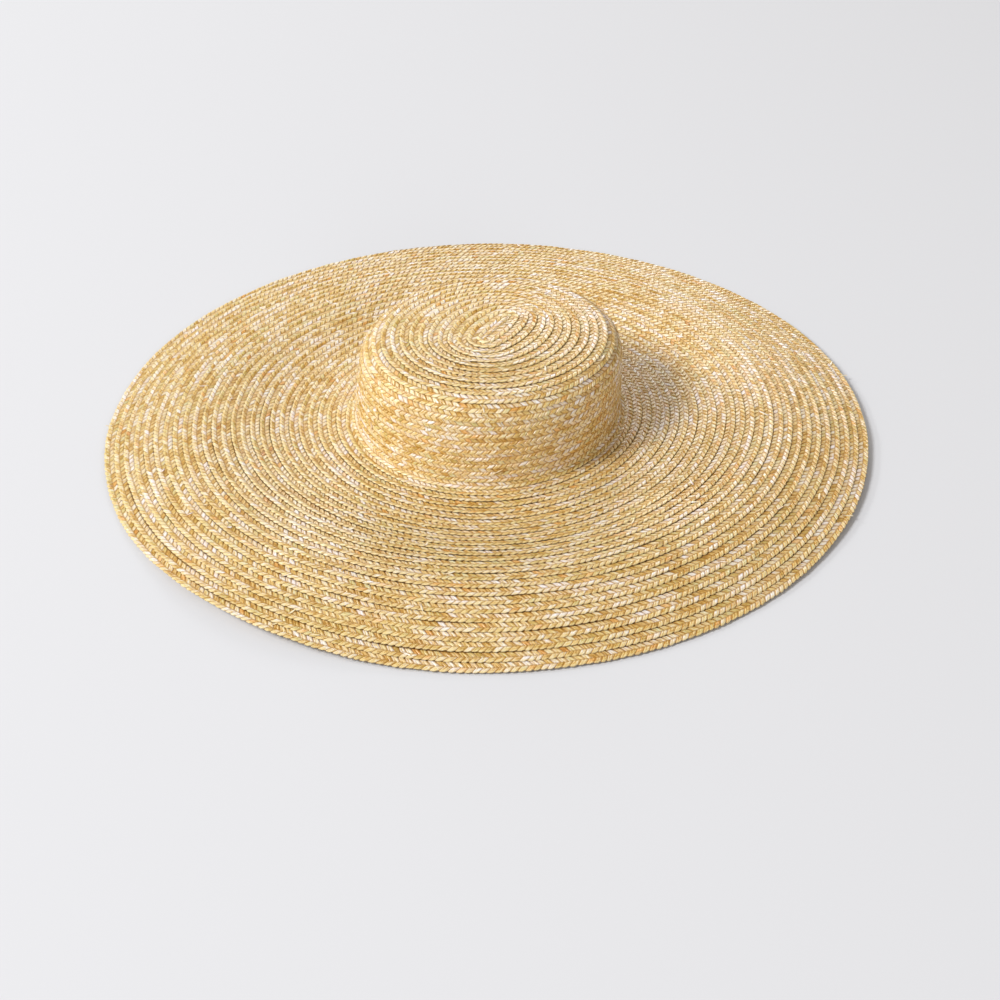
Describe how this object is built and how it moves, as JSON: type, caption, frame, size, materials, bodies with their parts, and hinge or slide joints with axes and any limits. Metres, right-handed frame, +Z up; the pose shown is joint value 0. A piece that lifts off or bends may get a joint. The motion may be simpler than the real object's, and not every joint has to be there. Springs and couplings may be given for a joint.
{
  "type": "flat-top straw hat",
  "caption": "Flat-topped straw hat with a shallow round crown and a very wide, gently waved brim, sewn from flat wheat-straw braid.",
  "frame": {"origin": "middle of the rim, on the surface that the hat rests on", "axes": "+Z up through the crown, -Y towards the front of the hat as the picture shows it, +X to the wearer's left"},
  "size_m": [0.5258, 0.5142, 0.0725],
  "materials": {
    "crown_straw_braid": "natural wheat-straw braid, glossy straws, golden to cream",
    "brim_straw_braid": "natural wheat-straw braid, glossy straws, golden to cream"
  },
  "bodies": {
    "root": {"crown": "crown_straw_braid", "brim": "brim_straw_braid"}
  },
  "joints": []
}
